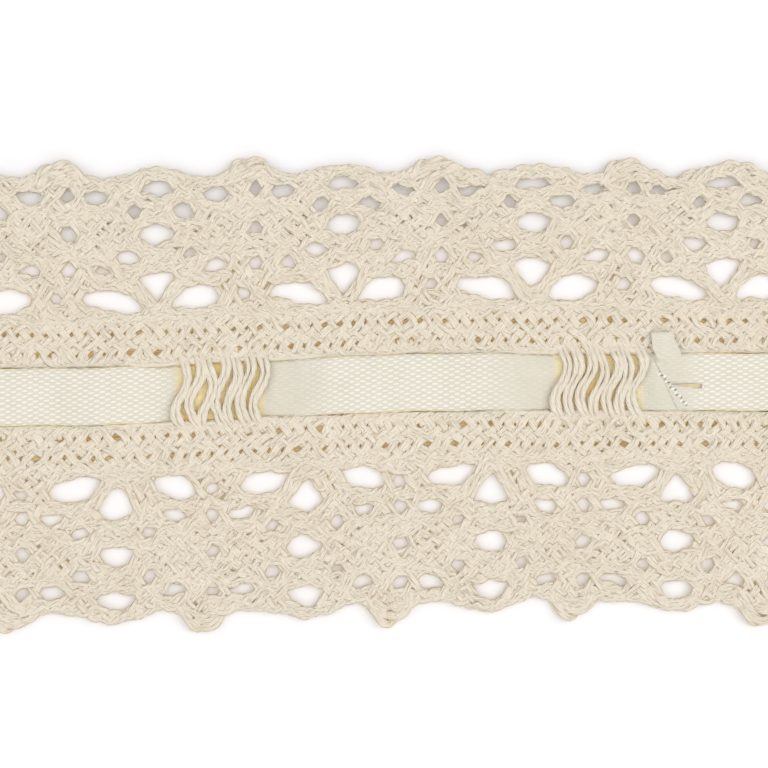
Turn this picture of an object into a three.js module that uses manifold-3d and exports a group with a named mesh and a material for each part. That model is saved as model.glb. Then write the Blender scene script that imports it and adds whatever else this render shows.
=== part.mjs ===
import * as THREE from 'three';
import Module from 'manifold-3d';
import { mergeVertices } from 'three/addons/utils/BufferGeometryUtils.js';

// A cut length of ribbon-threaded cotton beading lace, lying flat, face up.
// Millimetres. X runs along the strip, Y across it and Z up from the surface it lies on.

// Sizes along the strip
const repeatLength = 20.2; // one scallop of the border
const repeatCount = 6;
const halfLength = (repeatLength * repeatCount) / 2;
const spareLength = 3; // sheet drawn past each cut and then trimmed away
const cutSlant = 0.15; // the cuts follow the slant of the threads, X for each millimetre of Y

// Thicknesses and heights
const laceThickness = 1.4;
const ribbonThickness = 1.0;
const clearance = 0.3; // between the ribbon and the cotton

// Sizes across the strip
const ribbonWidth = 6.1;
const footingInner = ribbonWidth / 2 + clearance; // where the cotton starts beside the ribbon
const borderMiddle = 17.0; // centre line of the cloth-stitch diamonds, from the ribbon's centre line

// The two borders sit a little to either side of square with each other
const borderSlide = { upper: 2.1, lower: -2.1 };

// The thread groups that hold the ribbon: every second one passes over it, the others under it
const groupPitch = 2 * repeatLength;
const overGroupCentres = [-51.5, -11.1, 29.3];
const underGroupCentres = overGroupCentres.map((x) => x + groupPitch / 2);
const overGroupHalf = 4.7;
const underGroupHalf = 4.6;
const underGroupThickness = 0.8;
const overGroupThickness = 0.75;
const ridgeHeight = 0.25;
const ridgesPerGroup = 7; // seven pairs of threads

// Ribbon heights, measured to its underside
const ribbonOverThreads = underGroupThickness + clearance;
const spliceHeight = ribbonThickness + clearance; // the right-hand ribbon lies on the left-hand one

// The ribbon joint at the right
const leftRibbonEnd = 38.4;
const spliceUpper = { x: 35.2, y: 2.55 }; // slanting cut end of the right-hand ribbon
const spliceLower = { x: 38.9, y: -3.2 };

// One border repeat. along is measured from the diamond's centre, out from the ribbon's centre line.
const upperEdge = [
  { along: -10.1, out: 23.3 },
  { along: -8.2, out: 23.2 },
  { along: -6.4, out: 22.6 },
  { along: -4.6, out: 22.2 },
  { along: -2.6, out: 22.9 },
  { along: -0.8, out: 23.6 },
  { along: 1.2, out: 23.8 },
  { along: 3.0, out: 23.0 },
  { along: 4.8, out: 21.9 },
  { along: 6.6, out: 22.3 },
  { along: 8.4, out: 23.0 },
];
const lowerEdge = [
  { along: -10.1, out: 24.7 },
  { along: -8.2, out: 24.4 },
  { along: -6.4, out: 23.4 },
  { along: -4.8, out: 22.8 },
  { along: -3.0, out: 23.9 },
  { along: -1.8, out: 25.0 },
  { along: -0.4, out: 25.2 },
  { along: 1.2, out: 24.6 },
  { along: 2.6, out: 23.4 },
  { along: 4.2, out: 23.0 },
  { along: 6.0, out: 23.5 },
  { along: 8.2, out: 24.5 },
];

// The gaps of one repeat. flare widens a gap outwards, lean tilts it along the strip.
const upperGaps = [
  { along: -5.3, out: 10.15, length: 5.3, height: 2.9, flare: 0.0, lean: 0.1, sides: 10 },
  { along: 5.1, out: 10.05, length: 6.4, height: 2.5, flare: -0.3, lean: -0.2, sides: 10 },
  { along: 10.1, out: 11.4, length: 4.2, height: 3.7, flare: 0.45, lean: 0.0, sides: 10 },
  { along: -3.0, out: 13.8, length: 2.5, height: 1.5, flare: 0.0, lean: 0.3, sides: 8 },
  { along: 0.5, out: 13.7, length: 1.5, height: 1.8, flare: 0.0, lean: 0.0, sides: 8 },
  { along: 3.9, out: 13.5, length: 2.1, height: 1.4, flare: 0.0, lean: -0.3, sides: 8 },
  { along: -6.7, out: 14.9, length: 2.3, height: 1.1, flare: 0.0, lean: 0.5, sides: 8 },
  { along: 7.1, out: 14.7, length: 2.6, height: 1.4, flare: 0.0, lean: -0.5, sides: 8 },
  { along: 0.4, out: 17.3, length: 2.3, height: 1.4, flare: 0.0, lean: 0.0, sides: 8 },
  { along: 10.1, out: 17.0, length: 4.4, height: 2.1, flare: 0.0, lean: 0.0, sides: 10 },
  { along: -6.8, out: 19.2, length: 2.6, height: 1.4, flare: 0.0, lean: -0.5, sides: 8 },
  { along: 7.3, out: 19.1, length: 2.1, height: 1.3, flare: 0.0, lean: 0.5, sides: 8 },
  { along: -3.2, out: 20.5, length: 2.5, height: 1.4, flare: 0.0, lean: -0.3, sides: 8 },
  { along: 0.5, out: 20.9, length: 1.9, height: 1.3, flare: 0.0, lean: 0.0, sides: 8 },
  { along: 4.1, out: 20.3, length: 2.4, height: 1.3, flare: 0.0, lean: 0.3, sides: 8 },
  { along: 10.1, out: 21.3, length: 4.2, height: 1.4, flare: -0.2, lean: 0.0, sides: 10 },
];
const lowerGaps = [
  { along: -3.9, out: 9.8, length: 5.6, height: 3.0, flare: 0.1, lean: 0.2, sides: 10 },
  { along: 5.9, out: 9.85, length: 6.0, height: 2.8, flare: -0.3, lean: -0.2, sides: 10 },
  { along: 10.1, out: 11.3, length: 3.4, height: 3.4, flare: 0.45, lean: 0.0, sides: 10 },
  { along: -3.7, out: 13.3, length: 2.4, height: 1.5, flare: 0.0, lean: 0.3, sides: 8 },
  { along: 0.0, out: 13.2, length: 1.6, height: 1.7, flare: 0.0, lean: 0.0, sides: 8 },
  { along: 3.6, out: 13.4, length: 2.3, height: 1.5, flare: 0.0, lean: -0.3, sides: 8 },
  { along: -6.9, out: 14.6, length: 2.2, height: 1.3, flare: 0.0, lean: 0.5, sides: 8 },
  { along: 6.6, out: 14.6, length: 2.2, height: 1.3, flare: 0.0, lean: -0.5, sides: 8 },
  { along: 0.0, out: 16.9, length: 2.1, height: 1.5, flare: 0.0, lean: 0.0, sides: 8 },
  { along: 10.1, out: 17.0, length: 3.6, height: 2.3, flare: 0.0, lean: 0.0, sides: 10 },
  { along: -7.0, out: 19.3, length: 2.2, height: 1.4, flare: 0.0, lean: -0.5, sides: 8 },
  { along: 6.6, out: 19.3, length: 2.2, height: 1.4, flare: 0.0, lean: 0.5, sides: 8 },
  { along: -3.6, out: 20.6, length: 2.3, height: 1.4, flare: 0.0, lean: -0.3, sides: 8 },
  { along: 0.0, out: 20.9, length: 1.6, height: 1.3, flare: 0.0, lean: 0.0, sides: 8 },
  { along: 3.4, out: 20.7, length: 2.3, height: 1.4, flare: 0.0, lean: 0.3, sides: 8 },
  { along: 10.1, out: 22.0, length: 3.6, height: 2.1, flare: -0.2, lean: 0.0, sides: 10 },
];

// How uneven the borders lie, a row for each repeat from left to right:
// slide moves it along the strip and reach stretches what lies outside the diamonds' centre line.
const upperUneven = [
  { slide: 0.0, reach: 1.1 },
  { slide: 0.3, reach: 1.19 },
  { slide: 0.1, reach: 1.13 },
  { slide: -0.2, reach: 1.01 },
  { slide: 0.1, reach: 0.97 },
  { slide: -0.1, reach: 1.02 },
];
const lowerUneven = [
  { slide: -0.2, reach: 1.0 },
  { slide: 0.1, reach: 1.0 },
  { slide: 0.3, reach: 1.05 },
  { slide: 0.1, reach: 1.07 },
  { slide: -0.6, reach: 1.0 },
  { slide: -0.8, reach: 1.1 },
];

// The ribbon's centre line steps across the strip from left to right
const ribbonStart = { x: -30, y: -0.17 };
const ribbonSettled = { x: 16, y: 1.43 };

const wasm = await Module();
wasm.setup();

function smooth(from, to, value) {
  const t = Math.min(1, Math.max(0, (value - from) / (to - from)));
  return t * t * (3 - 2 * t);
}

function ribbonCentre(x) {
  const rise = ribbonSettled.y - ribbonStart.y;
  return ribbonStart.y + rise * smooth(ribbonStart.x, ribbonSettled.x, x);
}

// A value of the unevenness table at a place along the strip, blended from one repeat to the next
function unevenAt(table, column, x) {
  const place = (x + halfLength) / repeatLength - 0.5;
  const left = Math.min(table.length - 1, Math.max(0, Math.floor(place)));
  const right = Math.min(table.length - 1, left + 1);
  const blend = smooth(left, left + 1, place);
  return table[left][column] * (1 - blend) + table[right][column] * blend;
}

// Puts a point of a border, drawn square, where it lies on the strip
function layPoint(side, x, y) {
  const table = side === 'upper' ? upperUneven : lowerUneven;
  const out = Math.abs(y);
  const beyond = Math.max(0, out - borderMiddle);
  const reach = out + beyond * (unevenAt(table, 'reach', x) - 1);
  const slid = x + borderSlide[side] + unevenAt(table, 'slide', x);
  return [slid, ribbonCentre(slid) + Math.sign(y) * reach];
}

function toSolid(geometry) {
  const plain = geometry.clone();
  plain.deleteAttribute('normal');
  plain.deleteAttribute('uv');
  const merged = mergeVertices(plain, 1e-4);
  return new wasm.Manifold(
    new wasm.Mesh({
      numProp: 3,
      vertProperties: new Float32Array(merged.attributes.position.array),
      triVerts: new Uint32Array(merged.index.array),
    }),
  );
}

function toMesh(name, solid, material) {
  const cut = solid.getMesh();
  const geometry = new THREE.BufferGeometry();
  geometry.setAttribute('position', new THREE.BufferAttribute(new Float32Array(cut.vertProperties), 3));
  geometry.setIndex(new THREE.BufferAttribute(new Uint32Array(cut.triVerts), 1));
  geometry.computeVertexNormals();
  const mesh = new THREE.Mesh(geometry, material);
  mesh.name = name;
  return mesh;
}

function movePoints(geometry, move) {
  const places = geometry.attributes.position;
  for (let i = 0; i < places.count; i += 1) {
    const moved = move(places.getX(i), places.getY(i), places.getZ(i));
    places.setXYZ(i, ...moved);
  }
  return geometry;
}

// A prism standing on the outline, from one height to another
function prism(points, bottom, top) {
  const outline = new THREE.Shape(points.map((p) => new THREE.Vector2(p.x, p.y)));
  const geometry = new THREE.ExtrudeGeometry(outline, { depth: top - bottom, bevelEnabled: false });
  return geometry.translate(0, 0, bottom);
}

// The outline of one gap, a rounded shape with a few sides
function gapOutline(gap, centre, facing) {
  const path = new THREE.Path();
  for (let i = 0; i < gap.sides; i += 1) {
    const angle = (2 * Math.PI * (i + 0.5)) / gap.sides;
    const out = Math.sin(angle);
    const along = Math.cos(angle) * (1 + gap.flare * out);
    const x = centre + gap.along + (along * gap.length) / 2 + (gap.lean * out * gap.height) / 2;
    const y = facing * (gap.out + (out * gap.height) / 2);
    if (i === 0) {
      path.moveTo(x, y);
    } else {
      path.lineTo(x, y);
    }
  }
  path.closePath();
  return path;
}

// One border with its footing: scalloped outside, straight beside the ribbon, its gaps cut through
function borderSheet(side, edge, gaps) {
  const facing = side === 'upper' ? 1 : -1;
  const reachX = halfLength + spareLength;
  const outline = new THREE.Shape();
  outline.moveTo(-reachX, facing * footingInner);
  outline.lineTo(-reachX, facing * edge[0].out);
  for (let repeat = -1; repeat <= repeatCount; repeat += 1) {
    const centre = (repeat + 0.5) * repeatLength - halfLength;
    for (const row of edge) {
      const x = centre + row.along;
      if (Math.abs(x) < reachX) {
        outline.lineTo(x, facing * row.out);
      }
    }
  }
  outline.lineTo(reachX, facing * edge[0].out);
  const innerSteps = 4 * repeatCount;
  for (let step = innerSteps; step > 0; step -= 1) {
    outline.lineTo(-reachX + (2 * reachX * step) / innerSteps, facing * footingInner);
  }
  outline.closePath();
  for (let repeat = -1; repeat < repeatCount; repeat += 1) {
    const centre = (repeat + 0.5) * repeatLength - halfLength;
    for (const gap of gaps) {
      if (Math.abs(centre + gap.along) < halfLength + 0.1) {
        outline.holes.push(gapOutline(gap, centre, facing));
      }
    }
  }
  const geometry = new THREE.ExtrudeGeometry(outline, { depth: laceThickness, bevelEnabled: false });
  return toSolid(movePoints(geometry, (x, y, z) => [...layPoint(side, x, y), z]));
}

// A group of threads that arches over the ribbon, ridged by its seven pairs and swaying in an S
function overGroup(centre) {
  const pointsPerRidge = 3;
  const outline = [{ x: -overGroupHalf, y: 0 }, { x: overGroupHalf, y: 0 }];
  for (let i = ridgesPerGroup * pointsPerRidge; i >= 0; i -= 1) {
    const across = i / (ridgesPerGroup * pointsPerRidge);
    const ridge = Math.abs(Math.sin(Math.PI * ridgesPerGroup * across));
    const x = overGroupHalf * (2 * across - 1);
    outline.push({ x, y: overGroupThickness + ridgeHeight * ridge });
  }
  const reach = footingInner + 1.2;
  const shape = new THREE.Shape(outline.map((p) => new THREE.Vector2(p.x, p.y)));
  const settings = { depth: 2 * reach, steps: 8, bevelEnabled: false };
  const geometry = new THREE.ExtrudeGeometry(shape, settings);
  geometry.rotateX(Math.PI / 2);
  geometry.translate(0, reach, 0);
  const top = ribbonThickness + clearance;
  const dip = 0.75;
  return toSolid(
    movePoints(geometry, (x, y, z) => {
      const height = top - dip * smooth(footingInner, reach, Math.abs(y));
      const sway = 0.35 * Math.sin((Math.PI * y) / reach);
      const placed = centre + x + sway;
      return [placed, ribbonCentre(placed) + y, z + height];
    }),
  );
}

// A group of threads that runs under the ribbon, flat on the surface
function underGroup(centre) {
  const reach = footingInner + 0.5;
  const geometry = new THREE.BoxGeometry(2 * underGroupHalf, 2 * reach, underGroupThickness, 4, 1, 1);
  geometry.translate(centre, 0, underGroupThickness / 2);
  return toSolid(movePoints(geometry, (x, y, z) => [x, ribbonCentre(x) + y, z]));
}

// Height of the left-hand ribbon's underside: on the surface below each over group, raised by each
// under group. It ends before the last of those.
function threadedHeight(x) {
  const crossed = underGroupCentres.filter((centre) => centre < leftRibbonEnd);
  const nearest = Math.min(...crossed.map((centre) => Math.abs(x - centre)));
  const flatHalf = underGroupHalf + clearance;
  const slope = groupPitch / 2 - flatHalf - overGroupHalf - 2 * clearance;
  return ribbonOverThreads * (1 - smooth(flatHalf, flatHalf + slope, nearest));
}

// The right-hand ribbon starts on top of the left-hand one and then runs down over the threads
function splicedHeight(x) {
  const settled = underGroupCentres[2] - underGroupHalf - clearance;
  const start = leftRibbonEnd + 1;
  return spliceHeight + (ribbonOverThreads - spliceHeight) * smooth(start, settled, x);
}

// A ribbon laid along its centre line between two places, with its underside at the given height
function ribbonStrip(from, to, underside) {
  const steps = Math.ceil((to - from) / 1.6);
  const geometry = new THREE.BoxGeometry(to - from, ribbonWidth, ribbonThickness, steps, 2, 1);
  geometry.translate((from + to) / 2, 0, ribbonThickness / 2);
  return toSolid(movePoints(geometry, (x, y, z) => [x, ribbonCentre(x) + y, z + underside(x)]));
}

// What is kept between the two slanting cuts
function trimmedLength() {
  const far = 40;
  const leanOut = cutSlant * far;
  const corners = [
    { x: -halfLength - leanOut, y: -far },
    { x: halfLength - leanOut, y: -far },
    { x: halfLength + leanOut, y: far },
    { x: -halfLength + leanOut, y: far },
  ];
  return toSolid(prism(corners, -5, 10));
}

function makeLace(trim) {
  let solid = borderSheet('upper', upperEdge, upperGaps);
  solid = solid.add(borderSheet('lower', lowerEdge, lowerGaps));
  for (const centre of overGroupCentres) {
    solid = solid.add(overGroup(centre));
  }
  for (const centre of underGroupCentres) {
    solid = solid.add(underGroup(centre));
  }
  return solid.intersect(trim);
}

function makeLeftRibbon(trim) {
  const strip = ribbonStrip(-halfLength - spareLength, leftRibbonEnd, threadedHeight);
  return strip.intersect(trim);
}

// The right-hand ribbon: its end is cut on a slant and slit, and its upper half turns up in a tail
function makeRightRibbon(trim) {
  const raised = ribbonSettled.y;
  const start = 34.8;
  const strip = ribbonStrip(start, halfLength + spareLength, splicedHeight);
  const offcut = [
    { x: start - 1, y: raised + spliceUpper.y + 1.5 },
    { x: start - 1, y: raised + spliceLower.y - 0.5 },
    { x: spliceLower.x + 0.3, y: raised + spliceLower.y - 0.5 },
    { x: spliceLower.x, y: raised + spliceLower.y },
    { x: spliceUpper.x, y: raised + spliceUpper.y },
    { x: spliceUpper.x - 0.3, y: raised + spliceUpper.y + 1.5 },
  ];
  const slit = [
    { x: 36.2, y: raised + 0.1 },
    { x: 36.6, y: raised - 0.45 },
    { x: 40.2, y: raised - 0.75 },
    { x: 40.2, y: raised - 0.35 },
  ];
  const tail = [
    { x: 34.7, y: raised + 5.3 },
    { x: 35.0, y: raised + 3.4 },
    { x: 35.5, y: raised + 2.2 },
    { x: 38.2, y: raised + 2.2 },
    { x: 38.1, y: raised + 3.2 },
    { x: 37.1, y: raised + 5.5 },
  ];
  const tailBottom = laceThickness + clearance;
  return strip
    .subtract(toSolid(prism(offcut, 0, 4)))
    .subtract(toSolid(prism(slit, 0, 4)))
    .add(toSolid(prism(tail, tailBottom, tailBottom + ribbonThickness)))
    .intersect(trim);
}

const cotton = new THREE.MeshStandardMaterial({ color: 0xe9e1cd, roughness: 0.95, metalness: 0 });
const leftSatin = new THREE.MeshStandardMaterial({ color: 0xece9d2, roughness: 0.45, metalness: 0 });
const rightSatin = new THREE.MeshStandardMaterial({ color: 0xece9d2, roughness: 0.45, metalness: 0 });

const trim = trimmedLength();
const laceTrim = new THREE.Group();
laceTrim.add(toMesh('lace', makeLace(trim), cotton));
laceTrim.add(toMesh('ribbon_left', makeLeftRibbon(trim), leftSatin));
laceTrim.add(toMesh('ribbon_right', makeRightRibbon(trim), rightSatin));

export default laceTrim;
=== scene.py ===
import math
from collections import namedtuple

import bmesh
import bpy
import numpy as np
from mathutils import Matrix, Vector


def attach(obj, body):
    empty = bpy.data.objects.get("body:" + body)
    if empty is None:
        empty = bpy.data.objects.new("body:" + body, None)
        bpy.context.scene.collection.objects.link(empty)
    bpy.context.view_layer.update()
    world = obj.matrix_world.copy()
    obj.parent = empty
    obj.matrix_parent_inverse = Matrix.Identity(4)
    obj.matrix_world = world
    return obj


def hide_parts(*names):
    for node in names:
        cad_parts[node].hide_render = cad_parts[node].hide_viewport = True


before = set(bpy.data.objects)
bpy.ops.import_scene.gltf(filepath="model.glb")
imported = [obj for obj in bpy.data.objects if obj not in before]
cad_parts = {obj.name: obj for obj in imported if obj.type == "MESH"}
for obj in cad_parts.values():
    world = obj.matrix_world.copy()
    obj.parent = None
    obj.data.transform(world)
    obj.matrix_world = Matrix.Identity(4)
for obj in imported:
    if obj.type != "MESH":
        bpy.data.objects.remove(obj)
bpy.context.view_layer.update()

# Every size below is in millimetres until a piece is made, and metres from there on.
MM = 0.001

# The strip, as in the solids
REPEAT = 20.2
REPEATS = 6
HALF_LENGTH = REPEAT * REPEATS / 2
CUT_SLANT = 0.15
BORDER_MIDDLE = 17.0
BORDER_SLIDE = {1: 2.1, -1: -2.1}
RIBBON_START = (-30.0, -0.17)
RIBBON_SETTLED = (16.0, 1.43)
OVER_GROUPS = (-51.5, -11.1, 29.3)
UNDER_GROUPS = tuple(x + REPEAT for x in OVER_GROUPS)

# Each thread of the braids and of the edge loops is a pair of strands that lie side by side
STRAND_RADIUS = 0.28
STRAND_APART = 0.18  # from the middle of the pair
PAIR_REACH = STRAND_RADIUS + STRAND_APART
YARN_FLATNESS = 0.64  # a strand's height as a share of its width
CROSSING_LIFT = 0.14  # how far a thread rises or dips where it crosses another
LACE_MIDDLE = 0.53  # the height of a braid's middle
TURNED_SHARE = 0.14  # of the crossings
END_SPARE = 6  # how far a braid runs on past each end before it is cut there

# A pair rocks about its middle in two swings at once
Swing = namedtuple("Swing", "angle pace")
SWINGS = (Swing(0.6, 1.7), Swing(0.5, 0.63))
SWING_HEIGHT = 0.6  # how far a rocking strand rises, as a share of its shift
FULL_TURN = 6.28  # radians

# How far a place of the fabric wanders along the strip and across it. The shift across grows
# between two distances from the ribbon's line, so that the channel's edges stay straight.
WANDER_WAVES = (17.0, 9.0, 5.2, 3.1)
WANDER_ALONG = 0.1
WANDER_ACROSS = 0.14
WANDER_GROWS = (3.0, 7.0)

# Each thread has a shift of its own, drawn anew at this spacing along the strip
SLACK_SPACING = 2.2
SLACK_REACH = 80
BORDER_SLACK = 0.17
FOOTING_SLACK = 0.06
CARRIER_SLACK = 0.12

# The borders rise off the table towards their edges, the upper one more
EDGE_LIFT = {1: 0.4, -1: 0.12}
EDGE_LIFT_GROWS = (11.0, 22.0)

# Each kind of thread has its own series of random draws
BORDER_SEED = 21
FOOTING_SEED = 31
CARRIER_SEED = 51
LOOP_SEED = 70
GROUP_SEED = 900

# The borders are braided with one crossing place for each column of each second lane
BORDER_COLUMN = REPEAT / 34
BORDER_LANES = 28
LANES_PER_PLAIT = 4
BORDER_INNER = 7.75  # where the innermost plait lies against the footing
BORDER_STEPS = 2  # points of a thread for each column
EDGE_TUCK = 0.6  # how far the outermost thread is drawn in, as a share of a pair's reach

# A gap reaches a little past its outermost crossings, a wide one more, which rounds its ends
GAP_SPARE = 0.2
WIDE_GAP_SPARE = 0.35
WIDE_GAP_SITES = 4
GAP_DEPTH_SPARE = 0.1

# The footings are braided more steeply. Their lanes stand further apart at two rows, where the
# threads cross like leaning rungs with pinholes between them.
FOOTING_COLUMN = 0.72
FOOTING_APART = 0.17
FOOTING_RADIUS = 0.3
FOOTING_LANE_OUT = (3.35, 3.9, 5.0, 5.5, 6.0, 7.1, 7.6, 8.1)
FOOTING_LANES = len(FOOTING_LANE_OUT)
FOOTING_STEPS = 2
PINHOLE_LANES = (2, 5)
PINHOLE_SHARE = 0.36  # of the places between two rungs
OPEN_PUSH = (0.28, 0.6)  # how far the rungs beside a pinhole are pushed apart
CLOSED_PUSH = (0.0, 0.05)
PUSH_REACH = 1.8
PUSH_EDGE = 0.3
PUSH_FADE_ALONG = 0.65
PUSH_FADE_ACROSS = 0.62
PUSH_STRENGTH = 1.5
FOOTING_LEAN = 0.35  # how far a footing's threads lean over its width

Uneven = namedtuple("Uneven", "slide reach")
UNEVEN = {
    1: [
        Uneven(0.0, 1.1),
        Uneven(0.3, 1.19),
        Uneven(0.1, 1.13),
        Uneven(-0.2, 1.01),
        Uneven(0.1, 0.97),
        Uneven(-0.1, 1.02),
    ],
    -1: [
        Uneven(-0.2, 1.0),
        Uneven(0.1, 1.0),
        Uneven(0.3, 1.05),
        Uneven(0.1, 1.07),
        Uneven(-0.6, 1.0),
        Uneven(-0.8, 1.1),
    ],
}

# A row is the parting between two plaits. Its knots are where the plaits meet, as a line along
# one repeat, and its gaps open it: sites is how many crossings are left out, low and high are
# the gap's edges, measured out from the ribbon, and the curves say how square each edge is.
Row = namedtuple("Row", "lane knots gaps")
Knot = namedtuple("Knot", "along out")
Gap = namedtuple("Gap", "along sites low high low_curve high_curve", defaults=(2.6, 2.6))

UPPER_ROWS = [
    Row(
        lane=4,
        knots=[
            Knot(-10.1, 8.85),
            Knot(-8.3, 9.1),
            Knot(-2.5, 10.3),
            Knot(-0.5, 10.6),
            Knot(2.4, 10.2),
            Knot(8.3, 9.0),
        ],
        gaps=[Gap(-5.4, 4, 8.7, 11.65), Gap(-0.6, 1, 10.0, 10.9), Gap(5.3, 5, 8.75, 11.35)],
    ),
    Row(
        lane=8,
        knots=[
            Knot(-12.4, 12.7),
            Knot(-7.8, 12.7),
            Knot(-6.2, 12.8),
            Knot(-3.5, 13.8),
            Knot(0.6, 13.7),
            Knot(4.2, 13.5),
            Knot(6.2, 12.7),
        ],
        gaps=[
            Gap(-10.1, 3, 9.4, 13.35, 1.2, 2.2),
            Gap(-3.5, 2, 13.05, 14.6),
            Gap(0.6, 1, 12.75, 14.65),
            Gap(4.2, 1, 12.75, 14.3),
        ],
    ),
    Row(
        lane=12,
        knots=[Knot(-10.1, 14.6), Knot(-6.5, 14.9), Knot(0.4, 15.6), Knot(7.1, 14.7)],
        gaps=[Gap(-6.5, 1, 14.3, 15.5), Gap(7.1, 2, 14.0, 15.4)],
    ),
    Row(
        lane=16,
        knots=[Knot(-10.1, 17.0), Knot(0.6, 17.3)],
        gaps=[Gap(-10.1, 3, 15.9, 18.1), Gap(0.6, 1, 16.5, 18.1)],
    ),
    Row(
        lane=20,
        knots=[Knot(-10.1, 19.3), Knot(-6.8, 19.2), Knot(0.4, 19.1), Knot(7.2, 19.1)],
        gaps=[Gap(-7.1, 2, 18.45, 19.95), Gap(7.7, 1, 18.4, 19.8)],
    ),
    Row(
        lane=24,
        knots=[
            Knot(-10.1, 21.2),
            Knot(-6.4, 20.9),
            Knot(-3.5, 20.5),
            Knot(0.6, 20.8),
            Knot(3.6, 20.3),
            Knot(6.3, 20.8),
        ],
        gaps=[
            Gap(-10.1, 3, 20.5, 22.0),
            Gap(-3.5, 2, 19.75, 21.25),
            Gap(0.6, 1, 20.1, 21.6),
            Gap(3.8, 2, 19.6, 21.0),
        ],
    ),
]
UPPER_EDGE = [
    Knot(-10.1, 23.35),
    Knot(-7.6, 23.1),
    Knot(-4.6, 22.3),
    Knot(-1.6, 22.8),
    Knot(1.2, 23.1),
    Knot(3.0, 22.6),
    Knot(4.8, 22.0),
    Knot(7.6, 22.9),
]
LOWER_ROWS = [
    Row(
        lane=4,
        knots=[
            Knot(-10.1, 8.7),
            Knot(-7.0, 9.0),
            Knot(-1.1, 10.3),
            Knot(0.6, 10.6),
            Knot(2.6, 10.1),
            Knot(8.3, 9.0),
        ],
        gaps=[Gap(-3.6, 4, 8.35, 11.4), Gap(0.6, 1, 10.0, 11.3), Gap(5.9, 4, 8.5, 11.3)],
    ),
    Row(
        lane=8,
        knots=[
            Knot(-12.4, 12.5),
            Knot(-7.8, 12.5),
            Knot(-6.2, 12.7),
            Knot(-3.5, 13.3),
            Knot(0.6, 13.2),
            Knot(3.6, 13.4),
            Knot(6.2, 12.6),
        ],
        gaps=[
            Gap(-10.1, 3, 9.3, 13.1, 1.2, 2.2),
            Gap(-3.5, 2, 12.55, 14.1),
            Gap(0.6, 1, 12.3, 14.1),
            Gap(3.6, 2, 12.65, 14.2),
        ],
    ),
    Row(
        lane=12,
        knots=[Knot(-10.1, 14.5), Knot(-6.6, 14.6), Knot(0.2, 15.2), Knot(6.6, 14.6)],
        gaps=[Gap(-6.5, 1, 13.9, 15.3), Gap(6.5, 1, 13.9, 15.3)],
    ),
    Row(
        lane=16,
        knots=[Knot(-10.1, 17.0), Knot(0.0, 16.9)],
        gaps=[Gap(-10.1, 3, 15.8, 18.2), Gap(0.5, 1, 16.1, 17.7)],
    ),
    Row(
        lane=20,
        knots=[Knot(-10.1, 19.5), Knot(-6.8, 19.3), Knot(0.0, 19.0), Knot(6.8, 19.3)],
        gaps=[Gap(-6.5, 1, 18.6, 20.0), Gap(6.5, 1, 18.6, 20.0)],
    ),
    Row(
        lane=24,
        knots=[
            Knot(-10.1, 21.9),
            Knot(-6.4, 21.3),
            Knot(-3.5, 20.6),
            Knot(0.3, 20.9),
            Knot(3.6, 20.7),
            Knot(6.4, 21.2),
        ],
        gaps=[
            Gap(-10.1, 3, 20.9, 23.1),
            Gap(-3.5, 2, 19.9, 21.3),
            Gap(0.6, 1, 20.2, 21.6),
            Gap(3.6, 2, 20.0, 21.4),
        ],
    ),
]
LOWER_EDGE = [
    Knot(-10.1, 24.3),
    Knot(-7.4, 23.6),
    Knot(-4.8, 22.9),
    Knot(-2.2, 23.7),
    Knot(-0.4, 24.2),
    Knot(2.0, 23.5),
    Knot(4.0, 23.1),
    Knot(7.0, 24.0),
]
BORDERS = {1: (UPPER_ROWS, UPPER_EDGE), -1: (LOWER_ROWS, LOWER_EDGE)}


def smooth_step(start, end, value):
    t = np.clip((value - start) / (end - start), 0, 1)
    return t * t * (3 - 2 * t)


def ribbon_centre(x):
    rise = RIBBON_SETTLED[1] - RIBBON_START[1]
    return RIBBON_START[1] + rise * smooth_step(RIBBON_START[0], RIBBON_SETTLED[0], x)


def uneven_at(side, column, x):
    """A value of the unevenness table along the strip, blended from one repeat to the next."""
    values = np.array([getattr(row, column) for row in UNEVEN[side]])
    place = (x + HALF_LENGTH) / REPEAT - 0.5
    left = np.clip(np.floor(place), 0, REPEATS - 1).astype(int)
    right = np.minimum(left + 1, REPEATS - 1)
    blend = smooth_step(left, left + 1, place)
    return values[left] * (1 - blend) + values[right] * blend


def wander(x, y, seed, size):
    """A smooth uneven shift, the same for all threads that pass a place."""
    draws = np.random.default_rng(seed)
    total = np.zeros_like(x)
    for wavelength in WANDER_WAVES:
        angle, phase = draws.uniform(0, 2 * np.pi, 2)
        travel = x * math.cos(angle) + y * math.sin(angle)
        strength = math.sqrt(wavelength / WANDER_WAVES[0])
        total += np.sin(2 * np.pi * travel / wavelength + phase) * strength
    return total * size / 2


# The lower diamonds' centres lie a little to the left of their place in the braid
LOWER_PULL = 0.28


def lay(side, x, out):
    """Where a point of a border, drawn square, lies on the strip."""
    beyond = np.maximum(0, out - BORDER_MIDDLE)
    reach = out + beyond * (uneven_at(side, "reach", x) - 1)
    slid = x + BORDER_SLIDE[side] + uneven_at(side, "slide", x)
    if side == -1:
        slid = slid - LOWER_PULL * (1 + np.cos(2 * np.pi * along_repeat(x) / REPEAT))
    y = ribbon_centre(slid) + side * reach
    shift_x = wander(slid, y, seed=11, size=WANDER_ALONG)
    shift_y = wander(slid, y, seed=12, size=WANDER_ACROSS) * smooth_step(*WANDER_GROWS, out)
    return slid + shift_x, y + shift_y


def along_repeat(x):
    """Distance from the middle of the repeat that x is in."""
    return (x + HALF_LENGTH) % REPEAT - REPEAT / 2


def from_centre(x, centre):
    """Distance from the nearest copy of a centre given along the repeat."""
    return (along_repeat(x) - centre + REPEAT / 2) % REPEAT - REPEAT / 2


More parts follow.
